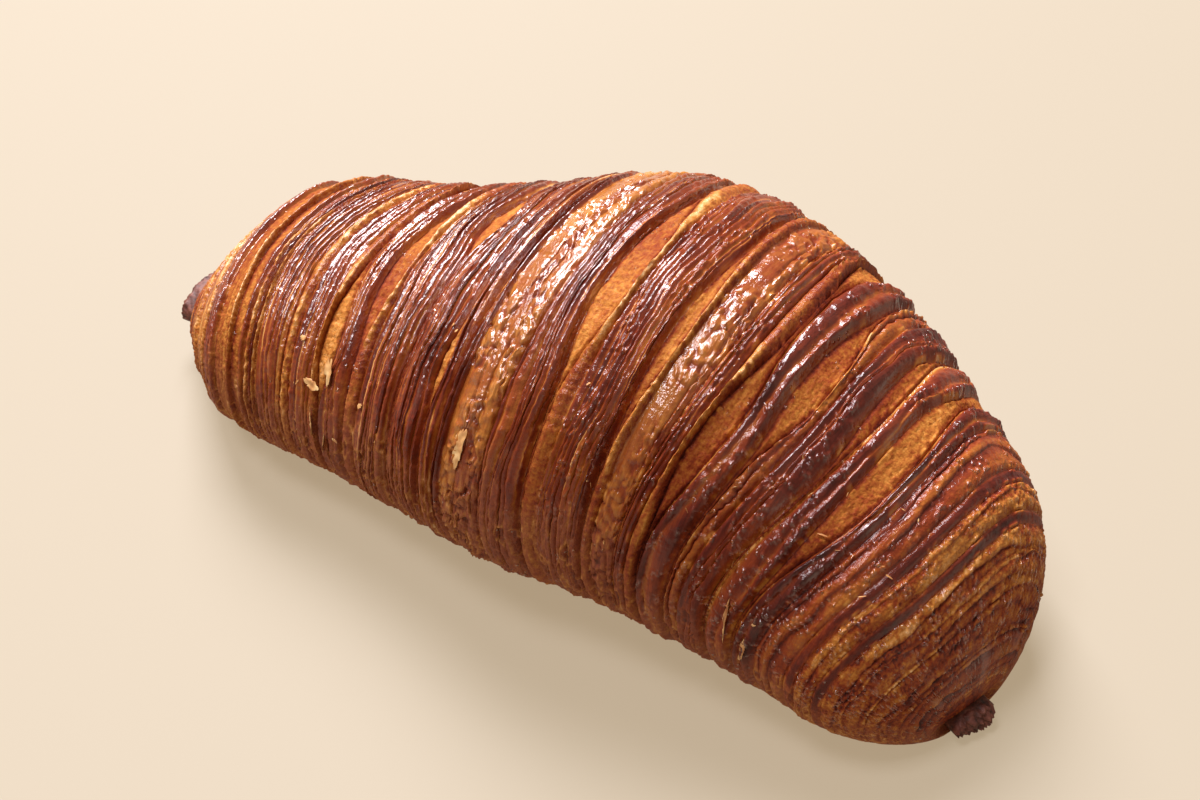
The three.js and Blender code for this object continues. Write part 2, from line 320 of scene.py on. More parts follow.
# The ways between which the roll changes to its coarser, darker, drooping part.
COARSER_FROM = (95, 115)
DARKER_FROM = (110, 130)
DROOPS_FROM = (80, 115)
PIMPLES_FROM = (86, 104)

# Angles between which splinters begin on the back, and lips brown and glaze dries on the front.
SPLINTERS_FROM = (95, 75)
LIPS_BROWN_FROM = (95, 130)
DRY_FROM = (130, 152)

# Where the sides and the back begin, as an angle off the crest and as an angle round, each for
# the narrow part and for the drooping one, over how wide an angle they fade in, and how baked
# the sides are.
SIDE_FROM = (60, 72)
SIDE_FADE = 28
BACK_FROM = (60, 85)
BACK_FADE = 30
SIDE_BAKE = 0.22
SIDE_BAKE_SHARE = 0.55

# Sizes of blisters, pits, pimples and cracks, and the kinds of strip that have pimples.
BLISTER_RADIUS = 0.62
BLISTER_HEIGHT = 0.36
CREASE_HEIGHT = 0.28
PIT_DEPTH = 0.16
GRAIN_HEIGHT = 0.11
PIMPLE_RADIUS = 0.5
PIMPLE_HEIGHT = 0.28
PIMPLY_KINDS = ("dark", "stained", "rough")
CRACK_RIM = 0.14
CRACK_DEPTH = 0.32

crest_angles = np.linspace(CREST_START, CREST_END, CREST_COLUMNS, endpoint=False)
foot_angles = np.linspace(CREST_END, FOOT_ANGLE, FOOT_COLUMNS + 1)
column_angles = np.append(crest_angles, foot_angles)
column_arcs = np.radians(column_angles - 90) * ARC_RADIUS
column_seams = seams(column_angles)


def hills(x, y, seed):
    """Smooth random hills about one unit apart, from -1 to 1."""
    table = np.random.default_rng(seed).uniform(-1, 1, (TABLE_SIDE, TABLE_SIDE))
    x0, y0 = np.floor(x).astype(int), np.floor(y).astype(int)
    fx, fy = smoothstep(0, 1, x - x0), smoothstep(0, 1, y - y0)
    corners = [table[(x0 + i) % TABLE_SIDE, (y0 + j) % TABLE_SIDE] for i in (0, 1) for j in (0, 1)]
    return mix(mix(corners[0], corners[1], fy), mix(corners[2], corners[3], fy), fx)


def cells(x, y, seed):
    """Distance to the nearest of random points, about one of them to each unit square."""
    table = np.random.default_rng(seed).uniform(0, 1, (2, TABLE_SIDE, TABLE_SIDE))
    x0, y0 = np.floor(x).astype(int), np.floor(y).astype(int)
    nearest = np.full(np.broadcast(x, y).shape, 2.0)
    for i in (-1, 0, 1):
        for j in (-1, 0, 1):
            spot = table[:, (x0 + i) % TABLE_SIDE, (y0 + j) % TABLE_SIDE]
            nearest = np.minimum(nearest, np.hypot(x0 + i + spot[0] - x, y0 + j + spot[1] - y))
    return nearest


def along_rib(spacing, line, seed):
    """Smooth chance along one rib, a hill to each spacing of millimetres, from -1 to 1."""
    return hills(column_arcs / spacing, np.full_like(column_arcs, line), seed)


def patches(relief, long, round_about, seed):
    """Smooth chance over the crust, from -1 to 1, a hill to each patch of this size."""
    return hills(relief["way"] / long, column_arcs / round_about, seed)


def rib_edges(i, rng):
    """Where the ribs of a strip begin across it, from 0 to 1, at each column."""
    strip = STRIPS[i]
    weights = []
    for rib in range(strip.ribs):
        line = 3.7 * rib + 11.3 * i
        swell = 0.8 * along_rib(22, line, seed=11) + 0.35 * along_rib(6, line, seed=12)
        weights.append(rng.uniform(0.5, 1.6) * np.exp(swell))
    edges = np.vstack([np.zeros_like(column_arcs), np.cumsum(weights, axis=0)])
    edges /= edges[-1]
    for rib in range(1, strip.ribs):
        edges[rib] += 0.08 / strip.width * along_rib(0.7, 2.9 * rib + 5.7 * i, seed=16)
    return edges


def seam_height(i):
    if i == 0 or i == len(STRIPS):
        return 0
    before, after = KINDS[STRIPS[i - 1].kind], KINDS[STRIPS[i].kind]
    return min(before.lift, after.lift) - (before.seam + after.seam) / 2


def frayed_edge(i, across, side):
    """How far the edges of a strip have frayed into pale splinters, from 0 to 1."""
    near, far = (along_rib(3.5, 2.3 * seam, seed=45) + 0.7 * along_rib(0.9, 2.3 * seam, seed=47)
                 for seam in (i, i + 1))
    torn = smoothstep(0.1, 0.9, np.where(across < 0.5, near, far))
    return np.exp(-(((side - FRAY_MARGIN) / FRAY_MARGIN) ** 2)) * torn


def pale_edge(i, line, across):
    """How pale and crisp a lip is: 1 along its wavering middle, 0 where it browned."""
    pale_from, pale_to = STRIPS[i].pale
    outside = np.maximum(pale_from - column_angles, column_angles - pale_to)
    browned = np.maximum(smoothstep(-6, 6, outside + 5 * along_rib(5, line, seed=28)),
                         0.8 * smoothstep(-0.1, 0.7, along_rib(7, 3.1 * i, seed=19)))
    wavering = 0.12 * along_rib(1.6, 3.3 * i, seed=29) + 0.1 * along_rib(0.7, 3.3 * i, seed=37)
    off = (across - 0.5 - wavering) / LIP_WIDTH_SHARE
    return np.exp(-(off**2)) * (1 - 0.9 * browned)


def ridge_bake(i, line, t, ridge, plateau, coarser, rng):
    """How much more a dark ridge is baked: less between its ribs and along their edges."""
    valley = (1 - ridge) ** 1.3 if STRIPS[i].ribs > 1 else 0
    pale_line = rng.uniform(0.1, 0.5) * smoothstep(-0.3, 0.5, along_rib(9, line, seed=14))
    pale_line = pale_line * (1 - 0.6 * coarser) * smoothstep(0.3, 0.0, t)
    darker = 0.03 * smoothstep(*DARKER_FROM, column_seams[i])
    return darker - 0.22 * valley - pale_line - 0.12 * (1 - plateau)


def strip_relief(i, pitch):
    """The crust over one strip: way, height, bake (with painted shade at the edges of amber strips),
    glaze and crumb, a row at a time.
    """
    strip, look = STRIPS[i], KINDS[STRIPS[i].kind]
    rng = np.random.default_rng(FIRST_STRIP_SEED + i)
    edges = rib_edges(i, rng)
    open_share = openness(strip, column_angles)
    strip_width = column_seams[i + 1] - column_seams[i]
    coarser = smoothstep(*COARSER_FROM, column_seams[i])
    shingled = rng.choice([0.65, 1.5])
    rib_rows = max(FEWEST_RIB_ROWS, round(strip.width / strip.ribs / pitch))
    t = (np.arange(rib_rows) / rib_rows)[:, None]
    ribs = []
    for rib in range(strip.ribs):
        line = 5.3 * rib + 7.9 * i
        across = mix(edges[rib], edges[rib + 1], t)
        side = np.minimum(across, 1 - across) * strip_width
        rib_width = (edges[rib + 1] - edges[rib]) * strip_width
        roundness = rng.uniform(1.7, 2.6) * (2 if strip.width > 2 * strip.ribs else 1)
        ridge = 1 - np.abs(2 * t ** (shingled * rng.uniform(0.8, 1.25)) - 1) ** roundness
        plateau = smoothstep(0, min(SHOULDER, SHOULDER_SHARE * strip.width), side)
        frayed = frayed_edge(i, across, side) * open_share

        foot = mix(seam_height(i), seam_height(i + 1), smoothstep(0.3, 0.7, across))
        crown = look.lift + strip.raised + look.arch * (1 - 2 * (2 * across - 1) ** 2)
        crown = crown + RIB_UNEVENNESS * (rng.uniform(-1, 1) + along_rib(7, line, seed=13))
        depth = look.steepness * np.minimum(rib_width, WIDEST_STEEP_RIB)
        depth = depth * (0.3 + smoothstep(-0.8, 0.3, along_rib(8, line, seed=17)))
        beads = 0.13 * along_rib(1.1, line, seed=30) + 0.05 * along_rib(0.5, line, seed=54)
        beads = beads - 0.16 * smoothstep(0.5, 0.8, along_rib(1.5, line, seed=36))
        height = mix(foot, crown * np.sqrt(open_share), plateau)
        height = height + depth * (ridge - RIDGE_LEVEL) + beads * ridge
        splinters = SPLINTER_HEIGHT * coarser * smoothstep(*SPLINTERS_FROM, column_angles)
        height = height + (FRAY_HEIGHT + splinters) * frayed

        bake = np.full_like(across, look.bake + rng.uniform(-0.07, 0.07))
        bake = bake + 0.1 * along_rib(11, line, seed=18)
        bake = bake + 0.06 * coarser - (0.17 + 0.15 * coarser) * frayed
        if strip.kind == "dark":
            bake = bake + ridge_bake(i, line, t, ridge, plateau, coarser, rng)
        elif strip.kind == "amber":
            # Amber is painted darker towards its edges, beside the raised strips: painted shade. It is
            # also a little darker between its ribs.
            bake = bake + 0.08 * (1 - ridge) + 0.2 * (1 - plateau)
        elif strip.kind == "lip":
            pale = pale_edge(i, line, across)
            crumbs = hills(across * strip.width / 0.35, column_arcs / 0.6, seed=52) * pale
            curled = LIP_HEIGHT + 0.25 * along_rib(0.8, 3.3 * i, seed=38)
            height = height + curled * (pale - 0.4) + LIP_CRUMB_HEIGHT * crumbs
            palest = 0.02 + 0.12 * smoothstep(*LIPS_BROWN_FROM, column_angles)
            bake = bake + mix(0.5, palest, pale) + 0.2 * crumbs
        elif strip.kind in ("tan", "stained", "rough"):
            bake = bake + 0.2 * (0.6 - ridge) + 0.1 * along_rib(6, line, seed=20)
        elif strip.kind == "groove":
            bake = bake - 0.2 * (1 - plateau)
        ribs.append((mix(column_seams[i], column_seams[i + 1], across), height, bake))
    way, height, bake = (np.vstack(rows) for rows in zip(*ribs))
    return {"way": way, "height": height, "bake": bake,
            "glaze": np.full_like(way, look.glaze), "crumb": np.full_like(way, look.crumb)}


def weather(relief):
    """Fine unevenness of the whole crust, and how it pales, dulls and cracks down its sides."""
    way, crumb = relief["way"], relief["crumb"]
    fine = patches(relief, 0.5, 1.5, seed=22)
    relief["height"] += 0.12 * patches(relief, 3.1, 7, seed=21) + 0.035 * fine
    relief["height"] += 0.09 * crumb * patches(relief, 0.32, 0.7, seed=23)
    drooping = smoothstep(*DROOPS_FROM, way + 12 * patches(relief, 8, 8, seed=26))
    low = np.abs(column_angles - 90) + 10 * patches(relief, 9, 9, seed=24)
    side = smoothstep(0, SIDE_FADE, low - mix(*SIDE_FROM, drooping * (column_angles > 90)))
    side_bake = SIDE_BAKE + SIDE_BAKE_SHARE * relief["bake"]
    relief["bake"] = mix(relief["bake"], side_bake, side) + 0.04 * fine
    back_edge = mix(*BACK_FROM, drooping) + 12 * patches(relief, 7, 7, seed=25)
    back = smoothstep(0, BACK_FADE, back_edge - column_angles)
    relief["bake"] -= 0.04 * back * (relief["bake"] > 0.6)
    dry = smoothstep(*DRY_FROM, column_angles + 12 * patches(relief, 6, 8, seed=53))
    relief["glaze"] *= mix(1, 0.3, dry) * mix(1, 0.4, side) * mix(1, 0.4, back) * mix(1, 0.7, drooping)
    relief["crumb"] = mix(crumb, 0.8, 0.7 * side)
    crack = patches(relief, 0.7, 4, seed=55)
    gaping = smoothstep(0.42, 0.65, crack)
    rim = smoothstep(0.2, 0.42, crack) - gaping
    relief["height"] += (CRACK_RIM * rim - CRACK_DEPTH * gaping) * side
    relief["bake"] += (0.1 * gaping - 0.26 * rim) * side
    relief["bloom"] = side
    relief["pimply"] = np.zeros_like(way)


def raise_blisters(relief):
    """A thick skin of glaze that bubbled up in the oven, creased between its bubbles."""
    way, bloom = relief["way"], relief["bloom"]
    bent = 0.6 * patches(relief, 1.3, 1.5, seed=35)
    off = cells(way + bent, column_arcs / 1.45 + bent, seed=31)
    dome = np.sqrt(np.clip(1 - (off / BLISTER_RADIUS) ** 2, 0, 1))
    creased = (1 - np.abs(hills(way / 0.9 + bent, column_arcs / 1.3 + bent, seed=39))) ** 4
    swollen = smoothstep(-0.7, 0.1, patches(relief, 2.5, 5, seed=32)) * (1 + 0.3 * bloom)
    relief["height"] += (BLISTER_HEIGHT * (dome - 0.6) + CREASE_HEIGHT * creased) * swollen
    relief["bake"] += 0.2 * (0.5 - dome) * swollen + 0.12 * bloom


def break_crumbs(relief):
    """Pits where crumbs broke off a rough strip, and the coarse grain between them."""
    bent = 0.8 * patches(relief, 1.4, 1.4, seed=35)
    off = cells(relief["way"] / 0.9 + bent, column_arcs / 1.6 + bent, seed=33)
    pit = smoothstep(0.4, 0.15, off) * smoothstep(-0.2, 0.5, patches(relief, 3, 4, seed=34))
    grain = patches(relief, 0.9, 3, seed=44) + 0.7 * patches(relief, 0.45, 0.9, seed=46)
    relief["height"] += GRAIN_HEIGHT * grain - PIT_DEPTH * pit
    relief["bake"] += 0.16 * pit - 0.1 * grain


def raise_pimples(relief):
    """Small drops of syrup and bubbles of dough, most of them towards the drooping tip."""
    way = relief["way"]
    pimply = 0.25 + 0.75 * smoothstep(*PIMPLES_FROM, way + 8 * patches(relief, 8, 8, seed=48))
    pimply = pimply * (1 - 0.7 * relief["bloom"])
    pimply = pimply * smoothstep(-0.7, 0.1, patches(relief, 2.2, 4, seed=50))
    off = cells(way / 0.9, column_arcs, seed=49)
    dome = np.clip(1 - (off / PIMPLE_RADIUS) ** 2, 0, 1) * pimply
    dome = dome * (0.1 + 0.9 * smoothstep(-0.25, 0.15, patches(relief, 1.1, 1.3, seed=57)))
    relief["height"] += PIMPLE_HEIGHT * dome
    relief["bake"] -= 0.03 * dome
    relief["glaze"] = np.maximum(relief["glaze"] * (1 - 0.6 * pimply), dome)
    relief["pimply"] = dome


def baked_strip(i, pitch):
    """The finished relief of one strip."""
    relief = strip_relief(i, pitch)
    weather(relief)
    if STRIPS[i].kind == "blistered":
        raise_blisters(relief)
    if STRIPS[i].kind == "rough":
        break_crumbs(relief)
    if STRIPS[i].kind in PIMPLY_KINDS:
        raise_pimples(relief)
    return relief


def hole_ring(along):
    """A ring of the hole that the filling lies in, in metres."""
    share, centre, _, across = section_plane(np.full_like(column_angles, along))
    half_width, half_height, middle = filling_section(share, FILLING_GAP)
    up = middle + half_height * np.sin(np.radians(column_angles))
    return placed(centre, across, half_width * squared(column_angles), up)


def closed_grid(name, points, values):
    """A body with one closed skin, from rows of points that end where they begin."""
    rows, columns = points.shape[:2]
    points[:, -1] = points[:, 0]
    bpy.ops.object.select_all(action="DESELECT")
    bpy.ops.mesh.primitive_grid_add(x_subdivisions=rows - 1, y_subdivisions=columns - 1, size=1)
    body = bpy.context.object
    body.name = name
    places = np.zeros(len(body.data.vertices) * 3)
    body.data.vertices.foreach_get("co", places)
    places = places.reshape(-1, 3) + 0.5
    row = np.rint(places[:, 0] * (rows - 1)).astype(int)
    column = np.rint(places[:, 1] * (columns - 1)).astype(int)
    body.data.vertices.foreach_set("co", points[row, column].ravel())
    for key, value in values.items():
        flat = value[row, column]
        kept = body.data.attributes.new(key, "FLOAT" if flat.ndim == 1 else "FLOAT_VECTOR", "POINT")
        kept.data.foreach_set("value" if flat.ndim == 1 else "vector", flat.ravel())
    bpy.ops.object.mode_set(mode="EDIT")
    bpy.ops.mesh.select_all(action="SELECT")
    bpy.ops.mesh.remove_doubles(threshold=SAME_POINT)
    bpy.ops.mesh.normals_make_consistent(inside=False)
    bpy.ops.object.mode_set(mode="OBJECT")
    bpy.ops.object.shade_smooth_by_angle(angle=math.radians(SOFT_EDGE_ANGLE))
    return body


def crust_sheet(name, first, last):
    """One sheet of the crust, from seam first to seam last, rolled round and closed."""
    pitch = sum(strip.width for strip in STRIPS[first:last]) / SHEET_ROWS
    parts = [baked_strip(i, pitch) for i in range(first, last)]
    end_row = {key: value[-1:] for key, value in parts[-1].items()}
    end_row["way"] = column_seams[last][None]
    end_row["height"] = np.full_like(end_row["way"], seam_height(last))
    parts[0]["height"][0] = seam_height(first)
    relief = {key: np.vstack([part[key] for part in [*parts, end_row]]) for key in end_row}

    outer = body_point(relief["way"], column_angles, relief["height"])
    starts, ends = below(relief["way"][[0, -1]].mean(axis=1), 0)[0]
    starts += MOUTH_DEPTH * (first == 0)
    ends -= MOUTH_DEPTH * (last == len(STRIPS))
    holes = [hole_ring(mix(ends, starts, i / (HOLE_ROWS - 1))) for i in range(HOLE_ROWS)]
    points = np.concatenate([outer, holes, outer[:1]])

    skin = np.minimum(np.arange(len(points)), len(outer) - 1)
    values = {key: relief[key][skin] for key in relief if key not in ("way", "height")}
    ways = relief["way"][skin]
    values["flow"] = np.stack([ways, np.broadcast_to(column_arcs, ways.shape), 0 * ways], -1)
    return closed_grid(name, points, values)


class Wire:
    """A value in a material. Sums on it add Math nodes, and node() adds any other node."""

    def __init__(self, tree, socket=None):
        self.tree = tree
        self.socket = socket

    def node(self, kind, settings=(), output=0, **inputs):
        """A node and one of its outputs. A socket is named, or numbered after the letter n."""
        made = self.tree.nodes.new(kind)
        for name, value in dict(settings).items():
            if name == "stops":
                for _ in range(len(value) - 2):
                    made.color_ramp.elements.new(0.5)
                for element, (place, tone) in zip(made.color_ramp.elements, value):
                    element.position = place
                    element.color = (*tone, 1)
            else:
                setattr(made, name, value)
        for name, value in inputs.items():
            key = int(name[1:]) if name[0] == "n" and name[1:].isdigit() else name.replace("_", " ")
            if isinstance(value, Wire):
                self.tree.links.new(made.inputs[key], value.socket)
            else:
                made.inputs[key].default_value = value
        return Wire(self.tree, made.outputs[output] if len(made.outputs) else None)

    def maths(self, operation, *values):
        inputs = {f"n{i}": value for i, value in enumerate(values)}
        return self.node("ShaderNodeMath", {"operation": operation}, **inputs)

    def stretched(self, *scales):
        return self.node("ShaderNodeVectorMath", {"operation": "MULTIPLY"}, n0=self, n1=scales)

    def noise(self, scale, detail, roughness=0.5):
        return self.node("ShaderNodeTexNoise", Vector=self, Scale=scale, Detail=detail,
                         Roughness=roughness)

    def __add__(self, other):
        return self.maths("ADD", self, other)

    def __sub__(self, other):
        return self.maths("SUBTRACT", self, other)

    def __rsub__(self, other):
        return self.maths("SUBTRACT", other, self)

    def __mul__(self, other):
        return self.maths("MULTIPLY", self, other)

    __radd__ = __add__
    __rmul__ = __mul__


def colour(red, green, blue):
    """A colour as seen on a screen, from 0 to 255, as the light that it stands for."""
    return tuple(((c / 255 + 0.055) / 1.055) ** 2.4 for c in (red, green, blue))


def new_finish(name):
    """An empty material, and a wire to add its nodes by."""
    material = bpy.data.materials.new(name)
    material.use_nodes = True
    material.node_tree.nodes.clear()
    return material, Wire(material.node_tree)


# Colours from pale dough to nearly burnt, and the dull bloom of the sides. The bump's depth is
# in metres.
BAKED_COLOURS = [
    (0.0, colour(240, 202, 150)), (0.14, colour(220, 160, 98)), (0.34, colour(188, 120, 50)),
    (0.5, colour(160, 88, 34)), (0.66, colour(136, 56, 24)), (0.82, colour(99, 34, 20)),
    (1.0, colour(60, 19, 14)),
]
BLOOM_COLOUR = colour(150, 98, 78)
BLOOM_SHARE = 0.34
CRUST_BUMP_DEPTH = 0.00015


def crust_finish():
    """Egg wash and syrup over baked dough: dark and glassy on the ridges, dull in between."""
    material, wire = new_finish("glazed_crust")
    bake, glaze, crumb, bloom, pimply = (
        wire.node("ShaderNodeAttribute", {"attribute_name": name}, output="Fac")
        for name in ("bake", "glaze", "crumb", "bloom", "pimply"))
    flow = wire.node("ShaderNodeAttribute", {"attribute_name": "flow"}, output="Vector")
    place = wire.node("ShaderNodeTexCoord", output="Object")
    streaks = flow.stretched(2.6, 0.22, 1).noise(1.0, 4.0, 0.6)
    strands = flow.stretched(2.2, 0.7, 1).noise(1.0, 2.0)
    blotches = place.noise(110.0, 3.0)
    grains = place.noise(1500.0, 3.0, 0.65)
    specks = place.noise(2400.0, 2.0)
    lumps = place.noise(1050.0, 1.0)

    shade = bake + (streaks - 0.5) * (0.38 - crumb * 0.2) + (blotches - 0.5) * 0.24
    shade = shade + (grains - 0.5) * crumb * 0.7 + (strands - 0.5) * bloom * 0.4
    off_bubble = wire.node("ShaderNodeTexVoronoi", output="Distance", Vector=place, Scale=900.0)
    bubbly = wire.maths("GREATER_THAN", place.noise(170.0, 2.0) + pimply * 0.1, 0.61)
    bubble = wire.maths("MAXIMUM", 1.0 - off_bubble * off_bubble * 12.0, 0.0) * bubbly
    bubble = bubble * wire.maths("GREATER_THAN", shade, 0.55)
    # Bubble tops are painted paler: partly the drier skin of a blister, partly a painted glint.
    shade = shade - bubble * bubble * 0.2
    baked = wire.node("ShaderNodeValToRGB", {"stops": BAKED_COLOURS}, Fac=shade)
    dusty = wire.node("ShaderNodeMix", {"data_type": "RGBA"}, output=2, n0=bloom * BLOOM_SHARE,
                      n6=baked, n7=(*BLOOM_COLOUR, 1))

    relief = streaks * 0.5 + grains * crumb * 1.8 + specks * (pimply + 0.6) + bubble * 1.6
    relief = relief + lumps * glaze * 0.6 + strands * (glaze * 0.7 + bloom)
    bump = wire.node("ShaderNodeBump", Height=relief, Strength=0.9, Distance=CRUST_BUMP_DEPTH)
    gloss = wire.maths("MAXIMUM", glaze, wire.maths("MINIMUM", bubble * 4.0, 1.0))
    dull = wire.node("ShaderNodeBsdfPrincipled", Base_Color=dusty, Specular_IOR_Level=0.12,
                     Roughness=0.85, Normal=bump)
    glassy = wire.node("ShaderNodeBsdfPrincipled", Base_Color=dusty, Specular_IOR_Level=1.0,
                       IOR=1.6, Roughness=0.17, Normal=bump)
    shader = wire.node("ShaderNodeMixShader", n0=gloss, n1=dull, n2=glassy)
    wire.node("ShaderNodeOutputMaterial", Surface=shader)
    return material


crust = crust_finish()
strip_ends = np.cumsum([strip.width for strip in STRIPS])
sheet_seams = [0]
for number in range(1, SHEETS + 1):
    sheet_seams.append(1 + int(np.argmin(np.abs(strip_ends - strip_ends[-1] * number / SHEETS))))
for number in range(SHEETS):
    sheet = crust_sheet(f"crust_{number + 1}", *sheet_seams[number:number + 2])
    sheet.data.materials.append(crust)
    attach(sheet, "root")
    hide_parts("laminated_pastry")

# The filling, a strip of chocolate paste rolled in with the dough. It lies in the hole through
# the crust and shows at both tips, where it tore off and dried. Made as one closed tube of fine
# rings with a ragged cap at each end.
FILLING_OUT = (4.0, 1.6)
FILLING_COLUMNS = 160
FILLING_RINGS = 10
CAP_ROWS = 26
CAP_ROUNDING = 0.3
TORN = (0.5, 1.0)
JAG_HEIGHT = 1.2
SWELL_HEIGHT = 0.9
ROUGHNESS_HEIGHT = 0.4
TORN_SLANT = 0.12
CHOCOLATE_COLOURS = [
    (0.3, colour(52, 25, 20)), (0.52, colour(108, 56, 42)), (0.75, colour(144, 86, 66)),
]

# How far apart the random hills are read for the two ends and the two sides, to differ.
UNLIKE = 40


def filling_ring(along, scale, torn):
    """A ring of the filling, torn and crumbled where it stands out of the crust."""
    angles = np.linspace(0, 360, FILLING_COLUMNS)
    c, s = np.cos(np.radians(angles)), np.sin(np.radians(angles))
    share, centre, tangent, across = section_plane(np.full(FILLING_COLUMNS, along))
    half_width, half_height, middle = filling_section(share, 0)
    out, up = half_width * scale * squared(angles), half_height * scale * s
    end = 1 if along > spine_length / 2 else -1
    jags = JAG_HEIGHT * (0.7 - cells(out / 0.9, up / 0.9 + UNLIKE * end, seed=41))
    jags = jags + SWELL_HEIGHT * hills(out / 2.2, up / 3, seed=42) + TORN_SLANT * end * out
    rough = hills(out / 0.8 + UNLIKE * (s > 0), (up + along) / 0.7, seed=43)
    rough = rough * ROUGHNESS_HEIGHT * torn * scale
    centre = centre + tangent * (end * torn * jags)[:, None]
    return placed(centre, across, out + rough * c, middle + up + rough * s)


def filling_rows(out, torn):
    """Rings of one end from its pole to where it meets the crust: along, scale and torn."""
    scales = np.sqrt(np.linspace(0, 1, CAP_ROWS))
    neck = 1 - CAP_ROUNDING
    cap = [(out * (1 - CAP_ROUNDING * scale**3), scale, torn) for scale in scales]
    return cap + [(out * neck * (1 - t), 1, torn * (1 - t)) for t in np.linspace(0, 1, CAP_ROWS)[1:]]


rings = [filling_ring(-along, *rest) for along, *rest in filling_rows(FILLING_OUT[0], TORN[0])]
rings += [filling_ring(along, 1, 0) for along in np.linspace(0, spine_length, FILLING_RINGS + 2)[1:-1]]
rings += [filling_ring(spine_length + along, *rest)
          for along, *rest in reversed(filling_rows(FILLING_OUT[1], TORN[1]))]
filling = closed_grid("chocolate", np.array(rings), {})
chocolate, wire = new_finish("chocolate")
lumps = wire.node("ShaderNodeTexCoord", output="Object").noise(700.0, 4.0, 0.6)
paste = wire.node("ShaderNodeValToRGB", {"stops": CHOCOLATE_COLOURS}, Fac=lumps)
dents = wire.node("ShaderNodeBump", Height=lumps, Strength=0.6, Distance=0.0004)
wire.node("ShaderNodeOutputMaterial", Surface=wire.node(
    "ShaderNodeBsdfPrincipled", Base_Color=paste, Roughness=0.6, Normal=dents))
filling.data.materials.append(chocolate)
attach(filling, "root")
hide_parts("chocolate_filling")

# Loose flakes and torn layer edges: papery bits of the outermost layer, baked pale, some lying
# where they fell and some still held along one side. Each is a thin closed plate with a ragged
# rim, laid on the crust and curled off it.
FLAKE_COLUMNS = 48
FLAKE_ROWS = 9
FLAKE_HALF_THICKNESS = 0.07
FLAKE_RIM = 0.98
RIM_RAGGEDNESS = 0.5
RIM_NOTCHES = 0.25
FLAKE_WARP = 0.12
HILLS_FROM = 9
FIRST_FLAKE_SEED = 60
CRUMB_CURL = 0.2
PALE_COLOURS = [
    (0.3, colour(160, 96, 50)), (0.5, colour(206, 152, 92)), (0.7, colour(232, 194, 136)),
]

# Each flake's share of the spine, angle round, length along and across the roll, turn, lift
# and curl.
FLAKES = [
    (0.262, 153, 3.4, 1.7, 14, 0.9, 0.9), (0.281, 146, 1.5, 4.2, -8, 0.9, 0.6),
    (0.235, 137, 1.2, 1.0, 30, 0.9, 0.3), (0.240, 154, 0.8, 1.3, 20, 0.8, 0.3),
    (0.302, 172, 1.0, 0.7, 0, 0.7, 0.2), (0.333, 154, 0.7, 1.1, 40, 0.8, 0.2),
    (0.268, 170, 1.1, 6.0, -6, 0.7, 1.2), (0.283, 177, 0.9, 5.0, 8, 0.5, 1.0),
    (0.820, 172, 1.3, 8.0, -4, 0.5, 1.3), (0.845, 178, 1.1, 6.0, 6, 0.5, 1.1),
    (0.488, 157, 2.6, 6.5, 3, 0.5, 0.5),
]
flake_draws = np.random.default_rng(51)


def scatter(count, *limits):
    """Values of so many crumbs, each drawn between its limits."""
    return [tuple(flake_draws.uniform(*pair) for pair in limits) for _ in range(count)]


FLAKES += scatter(18, (0.74, 0.93), (95, 165), (0.15, 0.35), (0.5, 1.5), (-70, 70), (0.4, 0.6),
                  (0.3, 0.8))
FLAKES += [(*crumb, CRUMB_CURL) for crumb in scatter(
    16, (0.16, 0.68), (120, 172), (0.2, 0.5), (0.2, 0.7), (-60, 60), (0.6, 0.8))]


def flake(name, seed, share, angle, along, across, turn, lift, curl):
    """One thin plate on the crust, from the middle of its top over its rim to its underside."""
    rows = np.append(np.linspace(0, 1, FLAKE_ROWS), np.linspace(1, 0, FLAKE_ROWS))[:, None]
    above = np.append(np.ones(FLAKE_ROWS), -np.ones(FLAKE_ROWS))[:, None]
    spin = np.linspace(0, 2 * np.pi, FLAKE_COLUMNS)
    x, y = np.cos(spin), np.sin(spin)
    rim = 1 + RIM_RAGGEDNESS * hills(1.6 * x + HILLS_FROM, 1.6 * y + HILLS_FROM, seed)
    rim = rim + RIM_NOTCHES * hills(4 * x + HILLS_FROM, 4 * y + HILLS_FROM, seed + 1)
    a, b = x * rim * rows * along / 2, y * rim * rows * across / 2
    bend = 0.5 + a / along
    warp = FLAKE_WARP * hills(a / 0.7 + HILLS_FROM, b / 0.7 + HILLS_FROM, seed + 2)
    thick = above * FLAKE_HALF_THICKNESS * np.sqrt(1 - FLAKE_RIM * rows**2)
    height = lift + curl * bend**2 + warp + thick
    c, s = math.cos(math.radians(turn)), math.sin(math.radians(turn))
    middle = share * spine_length + NARROW_END["surface"] - NARROW_END["reach"]
    round_about = angle + np.degrees((a * s + b * c) / ARC_RADIUS)
    return closed_grid(name, body_point(middle + a * c - b * s, round_about, height), {})


flakes = [flake(f"flake_{i}", FIRST_FLAKE_SEED + 3 * i, *given) for i, given in enumerate(FLAKES)]
bpy.ops.object.select_all(action="DESELECT")
for piece in flakes:
    piece.select_set(True)
bpy.context.view_layer.objects.active = flakes[0]
bpy.ops.object.join()
flakes = bpy.context.object
flakes.name = "flakes"
papery, wire = new_finish("pale_flake")
patchy = wire.node("ShaderNodeTexCoord", output="Object").noise(420.0, 3.0)
toast = wire.node("ShaderNodeValToRGB", {"stops": PALE_COLOURS}, Fac=patchy)
wire.node("ShaderNodeOutputMaterial", Surface=wire.node(
    "ShaderNodeBsdfPrincipled", Base_Color=toast, Roughness=0.55))
flakes.data.materials.append(papery)
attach(flakes, "root")
